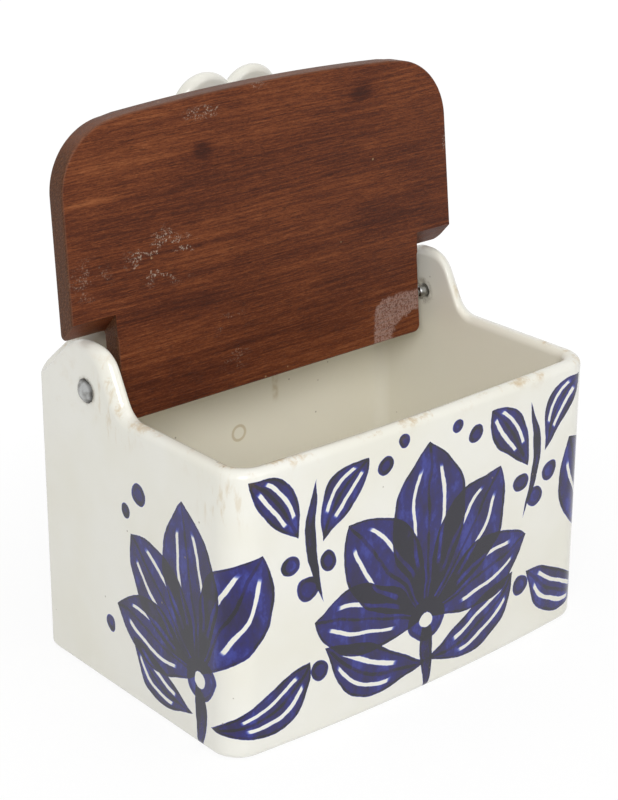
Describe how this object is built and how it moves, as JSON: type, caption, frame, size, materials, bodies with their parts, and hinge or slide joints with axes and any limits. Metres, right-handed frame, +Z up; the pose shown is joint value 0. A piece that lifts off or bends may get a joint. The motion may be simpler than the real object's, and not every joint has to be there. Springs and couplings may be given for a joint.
{
  "type": "salt box with hinged lid",
  "caption": "Wall-hung ceramic salt box with a twin-lobed crest and a hinged wooden lid that swings between two ears.",
  "frame": {"origin": "centre of the base, on the surface that the box stands on", "axes": "+Z up, the front of the box faces -Y, +X to the right seen from the front"},
  "size_m": [0.1868, 0.1259, 0.2213],
  "materials": {
    "glazed_ceramic": null,
    "teak": "oiled reddish-brown hardwood, grain along the width, worn and salt-marked",
    "steel": "domed screw heads, slightly dulled"
  },
  "bodies": {
    "box": {"box_body": "glazed_ceramic"},
    "lid": {"lid_board": "teak", "hinge_screw_left": "steel", "hinge_screw_right": "steel"}
  },
  "joints": [
    {"name": "lid_hinge", "type": "hinge", "parent": "box", "child": "lid", "pos_m": [0, 0.029, 0.119], "axis": [1, 0, 0], "range_deg": [-5, 94]}
  ]
}
